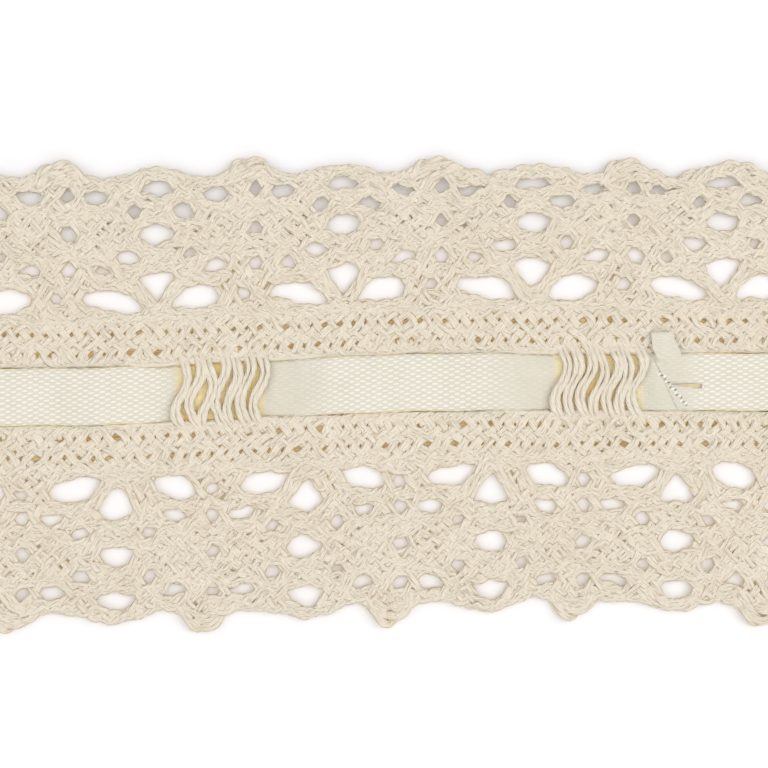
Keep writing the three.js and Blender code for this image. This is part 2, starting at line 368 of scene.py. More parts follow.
def gap_centre(gap):
    """The gap's place, moved to the nearest one that leaves out a whole number of crossings."""
    pitch = 2 * BORDER_COLUMN
    start = -REPEAT / 2 + (0 if gap.sites % 2 else BORDER_COLUMN)
    return start + pitch * round((gap.along - start) / pitch)


def meeting_line(knots, x):
    return np.interp(along_repeat(x), [k.along for k in knots], [k.out for k in knots], period=REPEAT)


def row_edges(row, x):
    """Lower and upper edge of a row of gaps. They are one line where the plaits meet."""
    meeting = meeting_line(row.knots, x)
    low, high = meeting.copy(), meeting.copy()
    for gap in row.gaps:
        centre = gap_centre(gap)
        spare = WIDE_GAP_SPARE if gap.sites >= WIDE_GAP_SITES else GAP_SPARE
        half = (gap.sites + 0.5) * BORDER_COLUMN + spare
        t = np.clip(np.abs(from_centre(x, centre)) / half, 0, 1)
        middle = float(meeting_line(row.knots, np.array(centre - HALF_LENGTH + REPEAT / 2)))
        low -= (middle - gap.low + GAP_DEPTH_SPARE) * (1 - t**gap.low_curve)
        high += (gap.high - middle + GAP_DEPTH_SPARE) * (1 - t**gap.high_curve)
    return low, high


def is_left_out(row, x):
    return any(abs(from_centre(x, gap_centre(g))) < g.sites * BORDER_COLUMN for g in row.gaps)


def braid(lanes, columns, is_open, draws):
    """Follows each thread from column to column. Returns its lane and, for each column, 1 where
    it crosses over, -1 where it crosses under and 0 where it meets no other thread. Now and then
    a crossing is turned, which leaves a longer stitch."""
    lane_of = np.zeros((lanes, columns + 1), int)
    lift = np.zeros((lanes, columns), int)
    holder = list(range(lanes))
    lane_of[:, 0] = holder
    for column in range(columns):
        for lane in range(column % 2, lanes - 1, 2):
            if is_open(lane + 1, column):
                rising, falling = holder[lane], holder[lane + 1]
                holder[lane], holder[lane + 1] = falling, rising
                turned = draws.random() < TURNED_SHARE
                lift[rising, column] = 1 if (lane % 2) != turned else -1
                lift[falling, column] = -lift[rising, column]
        for lane, thread in enumerate(holder):
            lane_of[thread, column + 1] = lane
    return lane_of, lift


def softened(values, times):
    """Evens a thread's path out, as its tension does, with both ends kept."""
    for _ in range(times):
        inner = 0.25 * values[:-2] + 0.5 * values[1:-1] + 0.25 * values[2:]
        values = np.concatenate([values[:1], inner, values[-1:]])
    return values


def thread_steps(lane_of, lift, steps):
    """Place among the columns, lane and height of one thread at each of its points."""
    columns = len(lift)
    place = np.arange(columns * steps + 1) / steps
    column = np.minimum(place.astype(int), columns - 1)
    part = place - column
    lane = lane_of[column] + (lane_of[column + 1] - lane_of[column]) * part
    return place, lane + 0.5, lift[column] * np.sin(np.pi * part)


def thread_slack(draws, x, size):
    """Each thread's own uneven shift, slow and quick."""
    places = np.arange(-SLACK_REACH, SLACK_REACH, SLACK_SPACING)
    slow = np.interp(x, places, draws.normal(0, size, len(places)))
    quick = softened(draws.normal(0, size, len(x)), 2)
    return slow + quick


def strand_pair(points, draws, apart=STRAND_APART):
    """The two strands of a thread. They lie side by side and rock a little about each other."""
    heading = np.gradient(points[:, :2], axis=0)
    heading /= np.linalg.norm(heading, axis=1)[:, None] + 1e-9
    aside = np.stack([-heading[:, 1], heading[:, 0], np.zeros(len(points))], 1)
    travelled = np.cumsum(np.linalg.norm(np.diff(points, axis=0, prepend=points[:1]), axis=1))
    starts = draws.uniform(0, FULL_TURN, 2)
    rock = sum(s.angle * np.sin(travelled * s.pace + start) for s, start in zip(SWINGS, starts))
    shift = apart * (aside * np.cos(rock)[:, None] + np.outer(np.sin(rock), (0, 0, SWING_HEIGHT)))
    return [points + shift, points - shift]


def border_lift(side, out):
    """How far a place of a border is raised off the table."""
    return EDGE_LIFT[side] * smooth_step(*EDGE_LIFT_GROWS, out)


def cut_to_length(points):
    """What is left of a thread between the two slanting cuts."""
    reach = HALF_LENGTH + CUT_SLANT * points[:, 1]
    back = HALF_LENGTH - CUT_SLANT * points[:, 1]
    kept = (points[:, 0] < reach) & (points[:, 0] > -back)
    return points[kept]


def border_threads(side):
    rows, edge = BORDERS[side]
    parting = {row.lane: row for row in rows}
    columns = round((2 * HALF_LENGTH + 2 * END_SPARE) / BORDER_COLUMN / 2) * 2
    # A crossing place of the even partings lies on the line between two repeats
    start = -HALF_LENGTH - (round(END_SPARE / BORDER_COLUMN / 2) * 2 + 1.5) * BORDER_COLUMN

    def is_open(lane, column):
        row = parting.get(lane)
        return row is None or not is_left_out(row, start + (column + 0.5) * BORDER_COLUMN)

    draws = np.random.default_rng(BORDER_SEED + side)
    lane_of, lift = braid(BORDER_LANES, columns, is_open, draws)
    paths = []
    for thread in range(BORDER_LANES):
        place, lane, height = thread_steps(lane_of[thread], lift[thread], BORDER_STEPS)
        x = start + place * BORDER_COLUMN
        below = [np.full_like(x, BORDER_INNER)]
        above = []
        for row in rows:
            low, high = row_edges(row, x)
            above.append(low)
            below.append(high)
        above.append(meeting_line(edge, x) - PAIR_REACH * EDGE_TUCK)
        plait = np.clip((lane / LANES_PER_PLAIT).astype(int), 0, len(rows))
        at = np.arange(len(x))
        bottom = np.array(below)[plait, at]
        top = np.array(above)[plait, at]
        out = bottom + (lane - plait * LANES_PER_PLAIT) / LANES_PER_PLAIT * (top - bottom)
        out = softened(out, 2)
        px, py = lay(side, x, out)
        py = py + thread_slack(draws, x, BORDER_SLACK)
        pz = LACE_MIDDLE + CROSSING_LIFT * height + border_lift(side, out)
        paths += strand_pair(cut_to_length(np.stack([px, py, pz], 1)), draws)
    return paths


def footing_threads(side):
    """A steep, close braid. Here and there its rungs are pushed apart into a pinhole."""
    columns = round((2 * HALF_LENGTH + 2 * END_SPARE) / FOOTING_COLUMN / 2) * 2
    start = -HALF_LENGTH - END_SPARE
    draws = np.random.default_rng(FOOTING_SEED + side)
    lane_of, lift = braid(FOOTING_LANES, columns, lambda lane, column: True, draws)
    inner, outer = FOOTING_LANE_OUT[0], FOOTING_LANE_OUT[-1]
    pinholes = []
    for lane in PINHOLE_LANES:
        middle = (FOOTING_LANE_OUT[lane - 1] + FOOTING_LANE_OUT[lane]) / 2
        # Rungs stand at the columns whose number is odd or even as the lane's isn't
        for column in range(lane % 2, columns, 2):
            opened = draws.random() < PINHOLE_SHARE
            width = draws.uniform(*(OPEN_PUSH if opened else CLOSED_PUSH))
            pinholes.append((start + (column + 0.5) * FOOTING_COLUMN, middle, width))
    paths = []
    for thread in range(FOOTING_LANES):
        place, lane, height = thread_steps(lane_of[thread], lift[thread], FOOTING_STEPS)
        x = start + place * FOOTING_COLUMN
        out = softened(np.interp(lane - 0.5, range(FOOTING_LANES), FOOTING_LANE_OUT), 1)
        pushed = np.zeros_like(x)
        for hole_x, middle, width in pinholes:
            near = np.abs(x - hole_x) < PUSH_REACH
            along = x[near] - hole_x
            across = (out[near] - middle) / PUSH_FADE_ACROSS
            fade = np.exp(-np.abs(along) / PUSH_FADE_ALONG - across**2)
            pushed[near] += width * np.tanh(along / PUSH_EDGE) * fade * PUSH_STRENGTH
        px, py = lay(side, x + pushed, out)
        py = py + thread_slack(draws, x, FOOTING_SLACK)
        px = px + FOOTING_LEAN * (out - inner) / (outer - inner) * side
        pz = LACE_MIDDLE + CROSSING_LIFT * height
        paths += strand_pair(cut_to_length(np.stack([px, py, pz], 1)), draws, FOOTING_APART)
    return paths


Carrier = namedtuple("Carrier", "out height")
CARRIERS = [
    Carrier(3.22, 0.62),
    Carrier(4.1, 0.18),
    Carrier(4.55, 0.17),
    Carrier(4.9, 0.18),
    Carrier(6.2, 0.17),
    Carrier(6.55, 0.18),
    Carrier(7.0, 0.17),
]
CARRIER_RADIUS = 0.27
CARRIER_SPARE = 5  # how far one runs on past each end before it is cut there
CARRIER_STEP = 0.8


def carrier_threads(side):
    """The straight thread along the ribbon, and those under the footing that the pinholes show."""
    x = np.arange(-HALF_LENGTH - CARRIER_SPARE, HALF_LENGTH + CARRIER_SPARE, CARRIER_STEP)
    draws = np.random.default_rng(CARRIER_SEED + side)
    paths = []
    for carrier in CARRIERS:
        slack = softened(draws.normal(0, CARRIER_SLACK, len(x)), 1)
        px, py = lay(side, x, carrier.out + slack)
        pz = np.full_like(x, carrier.height)
        paths.append(cut_to_length(np.stack([px, py, pz], 1)))
    return paths


# The sway of a crossing thread, from the upper footing to the lower one
Sway = namedtuple("Sway", "down aside")
OVER_SWAY = [
    Sway(0.0, -0.2),
    Sway(0.15, 0.25),
    Sway(0.3, 0.8),
    Sway(0.45, 0.4),
    Sway(0.59, -0.6),
    Sway(0.73, -0.8),
    Sway(0.88, -0.25),
    Sway(1.0, 0.5),
]
BUNDLES_PER_GROUP = 7
STRANDS_PER_BUNDLE = 2
STRAND_PITCH = 0.54
GROUP_REACH = 4.6
GROUP_YARN_RADIUS = 0.33
GROUP_POINTS = 33
BUNDLE_PITCH = 1.36
UNDER_SWAY = 0.3  # the sway under the ribbon, as a share of the sway over it
CHANNEL_EDGE = 3.9  # where the strands go into the footing
RISE_LENGTH = 1.4

# Heights of the crossing strands, from the middle of the lace
OVER_RISE = 0.46
NEXT_STRAND_RISE = 0.1
UNDER_DIP = 0.2
OVER_TUCK = 0.15
UNDER_TUCK = 0.1

# How much the bundles of a group differ, and the strands of a bundle
BUNDLE_UNEVEN = 0.08
SWAY_UNEVEN = (0.85, 1.15)
DROP_UNEVEN = 0.05
STRAND_UNEVEN = 0.05
STRAND_PLACES = 9  # where a strand's own shift is drawn
PITCH_UNEVEN = 0.05
PITCH_WAVES = 2.6


def group_threads(centre, over):
    """The strands that cross the channel in bundles, over the ribbon or under it."""
    draws = np.random.default_rng(int(centre * 10) + GROUP_SEED)
    paths = []
    t = np.linspace(0, 1, GROUP_POINTS)
    out = GROUP_REACH * (1 - 2 * t)
    inside = smooth_step(0, 1, (CHANNEL_EDGE - np.abs(out)) / RISE_LENGTH)
    tuck = smooth_step(CHANNEL_EDGE, GROUP_REACH, np.abs(out))
    for bundle in range(BUNDLES_PER_GROUP):
        shift = draws.normal(0, BUNDLE_UNEVEN)
        sway = draws.uniform(*SWAY_UNEVEN)
        drop = draws.normal(0, DROP_UNEVEN)
        twist = draws.uniform(0, FULL_TURN)
        middle = centre + (bundle - (BUNDLES_PER_GROUP - 1) / 2) * BUNDLE_PITCH + shift
        aside = np.interp(t + drop, [s.down for s in OVER_SWAY], [s.aside for s in OVER_SWAY])
        aside = softened(aside, 6) * sway * (1 if over else UNDER_SWAY)
        for strand in range(STRANDS_PER_BUNDLE):
            place = strand - (STRANDS_PER_BUNDLE - 1) / 2
            pitch = STRAND_PITCH + PITCH_UNEVEN * np.sin(PITCH_WAVES * np.pi * t + twist)
            stray = draws.normal(0, STRAND_UNEVEN, STRAND_PLACES)
            spread = place * pitch + np.interp(t, np.linspace(0, 1, STRAND_PLACES), stray)
            x = middle + aside + spread
            if over:
                z = LACE_MIDDLE + (OVER_RISE + NEXT_STRAND_RISE * strand) * inside - OVER_TUCK * tuck
            else:
                z = LACE_MIDDLE - UNDER_DIP * inside - UNDER_TUCK * tuck
            y = ribbon_centre(x) + out
            paths.append(np.stack([x, y, z], 1))
    return paths


# How square a tip's end is: 1 is a plain point, 4 nearly flat
Tip = namedtuple("Tip", "along out half square")
TIPS = {1: Tip(-0.3, 23.75, 2.7, 4.0), -1: Tip(-0.7, 25.25, 2.7, 1.6)}
LOOPS_PER_TIP = 6
LOOP_POINTS = 27
LOOP_WIDTHS = (0.7, 1.0)  # as a share of the tip's
LOOP_STRAY = 0.2
LOOP_ROOT = 1.3  # how far inside the edge a loop starts
LOOP_STEP = 0.3  # how much further in each loop's top is than the one before
LOOP_TUCK = 0.8  # how far all tops are drawn in, as a share of a pair's reach
LOOP_ROUND = 0.8
LOOP_LIFT = 0.3

# A loop's small waves: how far they swing and how many there are
LOOP_WAVES_ALONG = (0.12, 6)
LOOP_WAVES_OUT = (0.16, 7)


def edge_loops(side):
    """The knot of small loops at each scallop's tip."""
    tip = TIPS[side]
    edge = BORDERS[side][1]
    draws = np.random.default_rng(LOOP_SEED + side)
    t = np.linspace(-1, 1, LOOP_POINTS)
    along_size, along_waves = LOOP_WAVES_ALONG
    out_size, out_waves = LOOP_WAVES_OUT
    paths = []
    for repeat in range(-1, REPEATS + 1):
        centre = (repeat + 0.5) * REPEAT - HALF_LENGTH + tip.along
        for loop in range(LOOPS_PER_TIP):
            phase = draws.uniform(0, FULL_TURN)
            half = tip.half * draws.uniform(*LOOP_WIDTHS)
            wave = along_size * np.sin(along_waves * t + phase)
            x = centre + draws.normal(0, LOOP_STRAY) + half * t + wave
            base = meeting_line(edge, x) - LOOP_ROOT
            top = tip.out - PAIR_REACH * LOOP_TUCK - LOOP_STEP * loop
            rise = np.maximum(0, 1 - np.abs(t) ** tip.square) ** LOOP_ROUND
            out = base + (top - base) * rise + out_size * np.sin(out_waves * t + phase)
            px, py = lay(side, x, out)
            bob = LOOP_LIFT * np.cos(out_waves * t + phase) * rise
            pz = LACE_MIDDLE + bob + border_lift(side, out)
            kept = cut_to_length(np.stack([px, py, pz], 1))
            if len(kept) > 3:
                paths += strand_pair(kept, draws)
    return paths


# A strand's thickness varies along it
YARN_UNEVEN = 0.3
THINNEST = 0.8
THICKEST = 1.2


def yarn_piece(name, paths, seed, radius=STRAND_RADIUS):
    """Tubes of yarn along the paths, joined into one mesh."""
    draws = np.random.default_rng(seed)
    curve = bpy.data.curves.new(name, "CURVE")
    curve.dimensions = "3D"
    curve.bevel_depth = radius * MM
    curve.bevel_resolution = 1
    curve.use_fill_caps = True
    for path in paths:
        if len(path) < 2:
            continue
        spline = curve.splines.new("POLY")
        spline.points.add(len(path) - 1)
        raised = path * (1, 1, 1 / YARN_FLATNESS)
        places = np.concatenate([raised * MM, np.ones((len(path), 1))], 1)
        spline.points.foreach_set("co", places.ravel())
        uneven = softened(draws.normal(1, YARN_UNEVEN, len(path)), 4)
        spline.points.foreach_set("radius", np.clip(uneven, THINNEST, THICKEST))
        spline.use_smooth = True
    holder = bpy.data.objects.new(name + "_paths", curve)
    bpy.context.scene.collection.objects.link(holder)
    graph = bpy.context.evaluated_depsgraph_get()
    mesh = bpy.data.meshes.new_from_object(holder.evaluated_get(graph))
    mesh.name = name
    bpy.data.objects.remove(holder)
    bpy.data.curves.remove(curve)
    mesh.transform(Matrix.Diagonal((1, 1, YARN_FLATNESS, 1)))
    length = np.mean([np.linalg.norm(np.diff(path, axis=0), axis=1).sum() for path in paths])
    along_and_around = mesh.uv_layers[0]
    values = np.empty(len(mesh.loops) * 2)
    along_and_around.uv.foreach_get("vector", values)
    values[0::2] *= length
    along_and_around.uv.foreach_set("vector", values)
    along_and_around.name = "yarn"
    shape = bmesh.new()
    shape.from_mesh(mesh)
    bmesh.ops.remove_doubles(shape, verts=shape.verts[:], dist=1e-7)
    bmesh.ops.recalc_face_normals(shape, faces=shape.faces[:])
    # How much a place faces sideways, which the cotton uses for painted shade on the threads' sides
    flank = shape.verts.layers.float.new("flank")
    for vert in shape.verts:
        vert[flank] = 1 - max(0, vert.normal.z)
    shape.to_mesh(mesh)
    shape.free()
    piece = bpy.data.objects.new(name, mesh)
    bpy.context.scene.collection.objects.link(piece)
    mesh.shade_smooth()
    return piece


class Socket:
    """A shader socket or a plain number that takes part in arithmetic."""

    def __init__(self, tree, link):
        self.tree = tree
        self.link = link

    def with_other(self, operation, other, swapped=False):
        node = self.tree.nodes.new("ShaderNodeMath")
        node.operation = operation
        pair = (other, self) if swapped else (self, other)
        for socket, value in zip(node.inputs, pair):
            if isinstance(value, Socket):
                self.tree.links.new(value.link, socket)
            elif value is not None:
                socket.default_value = value
        return Socket(self.tree, node.outputs[0])

    def __add__(self, other):
        return self.with_other("ADD", other)

    __radd__ = __add__

    def __sub__(self, other):
        return self.with_other("SUBTRACT", other)

    def __rsub__(self, other):
        return self.with_other("SUBTRACT", other, True)

    def __mul__(self, other):
        return self.with_other("MULTIPLY", other)

    __rmul__ = __mul__

    def __truediv__(self, other):
        return self.with_other("DIVIDE", other)

    def __pow__(self, other):
        return self.with_other("POWER", other)

    def __mod__(self, other):
        return self.with_other("FLOORED_MODULO", other)

    def floor(self):
        return self.with_other("FLOOR", None)

    def sine(self):
        return self.with_other("SINE", None)

    def size(self):
        return self.with_other("ABSOLUTE", None)

    def above(self, other):
        return self.with_other("GREATER_THAN", other)

    def between(self, low, high):
        return self.with_other("MAXIMUM", low).with_other("MINIMUM", high)


class Finish:
    """A material whose nodes are added one call at a time."""

    def __init__(self, name):
        self.material = bpy.data.materials.new(name)
        self.material.use_nodes = True
        self.tree = self.material.node_tree
        self.shader = self.tree.nodes["Principled BSDF"]

    def node(self, kind, settings=None, output=0, **sockets):
        node = self.tree.nodes.new("ShaderNode" + kind)
        for key, value in (settings or {}).items():
            setattr(node, key, value)
        for key, value in sockets.items():
            socket = node.inputs[int(key[1:])] if key[0] == "_" else node.inputs[key.replace("_", " ")]
            self.feed(socket, value)
        return Socket(self.tree, node.outputs[output])

    def feed(self, socket, value):
        if isinstance(value, Socket):
            self.tree.links.new(value.link, socket)
        else:
            socket.default_value = value

    def mix(self, factor, first, second):
        node = self.tree.nodes.new("ShaderNodeMix")
        node.data_type = "RGBA"
        self.feed(node.inputs["Factor"], factor)
        self.feed(node.inputs[6], first)
        self.feed(node.inputs[7], second)
        return Socket(self.tree, node.outputs[2])

    def surface(self, **values):
        for key, value in values.items():
            self.feed(self.shader.inputs[key.replace("_", " ")], value)

    def parts(self, place, scale):
        """The three parts of a vector, each times the scale."""
        split = self.node("SeparateXYZ", Vector=place).link.node
        return [Socket(self.tree, output) * scale for output in split.outputs]

    def noise(self, place, scale, detail=2.0, roughness=0.5):
        return self.node("TexNoise", Vector=place, Scale=scale, Detail=detail, Roughness=roughness)


# Shader positions are in metres
MM_PER_METRE = 1000.0
NO_GLOW = (0, 0, 0, 1)

# Painted shade: the cotton is painted ochre below the first height between its threads and on their
# steep sides, and brown below the second, standing in for deep shade; a painted warm glow lights these
# places
COTTON_DULL = (0.64, 0.563, 0.443, 1)
COTTON_CREAM = (0.752, 0.692, 0.587, 1)
COTTON_SHADE_OCHRE = (0.67, 0.505, 0.25, 1)
COTTON_SHADE_BROWN = (0.52, 0.37, 0.17, 1)
COTTON_PAINTED_GLOW = (0.19, 0.132, 0.048, 1)
OCHRE_BELOW = 0.62
BROWN_BELOW = 0.44

# Small dark flecks of plant left in the cotton
FLECKS = ((19.8, -11.9), (-13.9, -23.7), (10.1, 5.6))
FLECK_RADIUS = 0.22
FLECK_COLOUR = (0.12, 0.09, 0.06, 1)


def cotton_finish():
    """Unbleached carded cotton, cream where light falls, with painted ochre and brown shade and a
    painted warm glow down between the threads and on their sides.
    """
    finish = Finish("cotton")
    place = finish.node("TexCoord", output=3)
    x, y, z = finish.parts(place, MM_PER_METRE)
    along, around, _ = finish.parts(finish.node("UVMap", {"uv_map": "yarn"}), 1.0)
    flank = finish.node("Attribute", {"attribute_name": "flank"}, output=2)
    turn = around * 6.2832
    wrapped = {"X": along * 1.6, "Y": turn.sine() * 1.6, "Z": (turn + 1.571).sine() * 1.6 + y * 0.7}
    fibres = finish.noise(finish.node("CombineXYZ", **wrapped), 1.0, 2.0, 0.65)
    patches = finish.noise(place, 160.0, 1.0)
    slubs = finish.noise(place, 900.0, 1.0)
    ply = (along * 6.0 + turn * 5.0).sine()
    shade = (patches * 0.4 + slubs * 0.5 + fibres * 0.7 + ply * 0.18 - 0.3).between(0.0, 1.0)
    cream = finish.mix(shade, COTTON_DULL, COTTON_CREAM)
    # Painted shade: ochre on the threads' steep sides and low down between them, brown in the deepest
    # places
    painted_shade = (flank * flank * 0.7 + (OCHRE_BELOW - z) * 1.6).between(0.0, 1.0)
    painted_deep_shade = ((BROWN_BELOW - z) * 8.0).between(0.0, 1.0)
    colour = finish.mix(painted_shade * 0.9, cream, COTTON_SHADE_OCHRE)
    colour = finish.mix(painted_deep_shade * 0.8, colour, COTTON_SHADE_BROWN)
    # Painted light: a warm glow in the same shaded places
    painted_glow = finish.mix(painted_shade * painted_shade, NO_GLOW, COTTON_PAINTED_GLOW)
    for fleck_x, fleck_y in FLECKS:
        reach = ((x - fleck_x) ** 2.0 + (y - fleck_y) ** 2.0) ** 0.5
        colour = finish.mix((1.0 - reach / FLECK_RADIUS).between(0.0, 0.9), colour, FLECK_COLOUR)
    height = ply * 0.5 + fibres * 1.3 + slubs * 0.5
    normal = finish.node("Bump", Height=height, Strength=0.7, Distance=0.00009)
    finish.surface(Base_Color=colour, Roughness=0.95, Normal=normal)
    finish.surface(Specular_IOR_Level=0.04, Emission_Color=painted_glow, Emission_Strength=1.0)
    return finish.material


# The ribbon's weave: floats set like bricks, made bright with a painted highlight
FLOAT_ROW = 0.298
FLOAT_PERIOD = 1.18
FLOAT_LENGTH = 0.68
ROW_LEAN = 0.05
# Colours: the ribbon's own tone, the floats' painted highlight, the painted golden shade and its
# painted glow
RIBBON_DULL = (0.572, 0.533, 0.434, 1)
RIBBON_HIGHLIGHT = (0.785, 0.75, 0.676, 1)
RIBBON_SHADE_YELLOW = (0.78, 0.7, 0.43, 1)
RIBBON_SHADE_GOLD = (0.74, 0.56, 0.2, 1)
RIBBON_PAINTED_GLOW = (0.13, 0.095, 0.03, 1)
SELVEDGE_OUT = 3.05
# Where the cut end of the right-hand ribbon frays into specks: dark ones, partly painted shadow between
# the frayed ends and partly dark beads of the ends, and bright ones, a painted highlight on the ends
FRAY_START = (35.75, 1.05)
FRAY_RUN = (0.63, -0.777)
FRAY_LENGTH = 4.6
FRAY_HALF_WIDTH = 0.2
FRAY_PERIOD = 0.52
FRAY_DARK_BEADS_AND_SHADE = (0.2, 0.19, 0.15, 1)
FRAY_HIGHLIGHT = (0.86, 0.83, 0.75, 1)


def ribbon_finish():
    """Ivory ribbon whose floats carry a painted highlight, faded near the thread groups and at the
    joint, with painted golden shade and a painted glow beside and under the groups and along its edges.
    """
    finish = Finish("ribbon_weave")
    place = finish.node("TexCoord", output=3)
    x, across, _ = finish.parts(finish.node("UVMap", {"uv_map": "weave"}), 1.0)
    highlight_fade = finish.node("Attribute", {"attribute_name": "highlight_fade"}, output=2)
    gold_shade = finish.node("Attribute", {"attribute_name": "gold_shade"}, output=2)
    row = (across - x * ROW_LEAN) / FLOAT_ROW
    odd_row = row.floor() % 2.0
    in_row = (row % 1.0 - 0.5) * 2.0
    lengthways = (x / FLOAT_PERIOD + odd_row * 0.5) % 1.0 - 0.5
    in_float = lengthways * (2 * FLOAT_PERIOD / FLOAT_LENGTH)
    round_float = (1.0 - in_float * in_float) * (1.0 - in_row * in_row * 1.6)
    float_shape = round_float.between(0.0, 1.0) ** 0.6
    fine = finish.noise(place, 1500.0, 3.0)
    broad = finish.noise(place, 300.0, 1.0)
    # Painted highlight on the floats, faded near the thread groups and at the joint
    float_highlight = float_shape * (1.0 - highlight_fade * 0.85)
    tone = (float_highlight * 0.8 + fine * 0.25 + broad * 0.2 - 0.1).between(0.0, 1.0)
    colour = finish.mix(tone, RIBBON_DULL, RIBBON_HIGHLIGHT)
    # Painted shade: a patchy golden line along the ribbon's edges beside the lace, left out where the
    # highlight is faded
    from_selvedge = (across.size() - SELVEDGE_OUT).size()
    edge_shade = (1.0 - from_selvedge * 5.0).between(0.0, 0.6) * (1.0 - highlight_fade)
    edge_shade = edge_shade * (broad * 4.0 - 1.2).between(0.2, 1.0)
    # Painted golden shade, with a painted glow, beside and under the thread groups, under the slit and
    # along the edges
    deeper = (broad * 4.0 - 1.5).between(0.0, 1.0)
    painted_gold = finish.mix(deeper, RIBBON_SHADE_YELLOW, RIBBON_SHADE_GOLD)
    gold_shade_mask = gold_shade.with_other("MAXIMUM", edge_shade)
    colour = finish.mix(gold_shade_mask, colour, painted_gold)
    painted_glow = finish.mix(gold_shade_mask, NO_GLOW, RIBBON_PAINTED_GLOW)
    # Along the cut: dark specks, partly painted shadow and partly dark beads of the ends, and bright
    # specks of painted highlight
    run = (x - FRAY_START[0]) * FRAY_RUN[0] + (across - FRAY_START[1]) * FRAY_RUN[1]
    aside = (x - FRAY_START[0]) * -FRAY_RUN[1] + (across - FRAY_START[1]) * FRAY_RUN[0]
    swing = aside + (run * 7.0).sine() * 0.14
    inside = (run + 0.1).above(0.0) * (FRAY_LENGTH - run).above(0.0)
    frayed = (1.0 - swing.size() / FRAY_HALF_WIDTH).between(0.0, 1.0) * inside
    dark = ((run / FRAY_PERIOD) % 1.0 - 0.5).above(0.0)
    colour = finish.mix(frayed * dark, colour, FRAY_DARK_BEADS_AND_SHADE)
    colour = finish.mix(frayed * (1.0 - dark), colour, FRAY_HIGHLIGHT)
    height = float_shape + fine * 0.25
    normal = finish.node("Bump", Height=height, Strength=0.55, Distance=0.00006)
    finish.surface(Base_Color=colour, Roughness=0.62 - float_highlight * 0.25, Normal=normal)
    finish.surface(Sheen_Weight=0.1, Specular_IOR_Level=0.4)
    finish.surface(Emission_Color=painted_glow, Emission_Strength=1.0)
    return finish.material


RIBBON_WIDTH = 6.1
RIBBON_THICKNESS = 0.16
RIBBON_UNDER = 0.36  # its middle where threads cross over it
RIBBON_OVER = 1.12  # its middle where it crosses over threads
RIBBON_TURNS = (5.4, 12.0)  # where it climbs from under to over, from an over group's middle
RIBBON_CROWN = 0.12  # how much higher the middle of its width stands
RIBBON_STEP = 0.35  # the size of its faces before it is bent
RIBBON_SPARE = 2  # how far it runs on past the strip's ends before it is cut there
RIPPLE = 0.03
SIDE_SWAY = 0.04

# The joint: the left-hand ribbon ends under the right-hand one, which starts at a slanting cut
LEFT_RIBBON_END = 40.6
JOINT_START = OVER_GROUPS[2] + 3
JOINT_RISE = 0.5
JOINT_RISES = (32.5, 35.5)
RIGHT_RIBBON_START = 34.4
RIGHT_RIBBON_RAISED = 0.02
Trim = namedtuple("Trim", "point outward")
RIGHT_CUT = Trim((35.06, 2.55), (-0.905, -0.425))
CUT_END_DIP = 0.22
CUT_END_DIP_LENGTH = 1.3
SLIT_CORNERS = [(36.3, -0.02), (40.2, -0.2), (40.2, -0.7), (36.3, -0.12)]

# At the strip's right end the ribbon sags towards the table
END_SAG = 0.45
END_SAG_GROWS = (53.0, 61.0)

# The tail turns up over the lace and droops at its end
TAIL_ALONG = (34.3, 38.6)
TAIL_ACROSS = (2.0, 5.8)
TAIL_CORNERS = [(34.7, 5.3), (37.0, 5.45), (38.0, 3.2), (38.2, 2.2), (35.5, 2.2), (35.0, 3.4)]
TAIL_LOWERED = 0.15
TAIL_CLIMB = 0.3
TAIL_CLIMBS = (2.0, 3.2)
TAIL_DROOP = 0.08
TAIL_DROOPS = (4.0, 5.5)


def over_distance(x):
    """Distance from the nearest group of threads that crosses over the ribbon."""
    return np.min([np.abs(x - c) for c in OVER_GROUPS], 0)


def left_ribbon_height(x, across):
    climbed = smooth_step(*RIBBON_TURNS, over_distance(x))
    height = RIBBON_UNDER + (RIBBON_OVER - RIBBON_UNDER) * climbed
    at_joint = RIBBON_UNDER + JOINT_RISE * smooth_step(*JOINT_RISES, x)
    return np.where(x > JOINT_START, at_joint, height)


def right_ribbon_height(x, across):
    from_cut = (x - RIGHT_CUT.point[0], across - RIGHT_CUT.point[1])
    inwards = -np.dot(RIGHT_CUT.outward, from_cut)
    dip = CUT_END_DIP * smooth_step(CUT_END_DIP_LENGTH, 0.0, inwards)
    sag = END_SAG * smooth_step(*END_SAG_GROWS, x)
    return RIBBON_OVER + RIGHT_RIBBON_RAISED - dip - sag


def tail_height(x, across):
    climb = TAIL_CLIMB * smooth_step(*TAIL_CLIMBS, across)
    droop = TAIL_DROOP * smooth_step(*TAIL_DROOPS, across)
    return RIBBON_OVER - TAIL_LOWERED + climb - droop


# The floats' painted highlight is faded within a reach of the over groups, which is wider to the
# right, and at the joint. Painted golden shade lies close beside those groups and under the slit.
DULL_REACH = 7.0
WIDE_DULL_REACH = 13.5
DULL_CORE = 0.55  # the part of the reach where the painted highlight is fully faded
JOINT_DULLS = (34.0, 35.0)
GROUP_GOLD = 0.85
GROUP_GOLD_GROWS = (5.2, 3.8)
SLIT_GOLD = 0.4
SLIT_GOLD_GROWS = (37.4, 38.2)
RIGHT_DULLS = (40.8, 38.0)


def left_highlight_fade(x):
    reach = DULL_REACH if x < OVER_GROUPS[1] else WIDE_DULL_REACH
    beside_groups = smooth_step(reach, DULL_CORE * reach, over_distance(x))
    return np.maximum(beside_groups, smooth_step(*JOINT_DULLS, x))


def left_gold_shade(x):
    beside_groups = GROUP_GOLD * smooth_step(*GROUP_GOLD_GROWS, over_distance(x))
    return np.maximum(beside_groups, SLIT_GOLD * smooth_step(*SLIT_GOLD_GROWS, x))


def right_highlight_fade(x):
    return smooth_step(*RIGHT_DULLS, x)


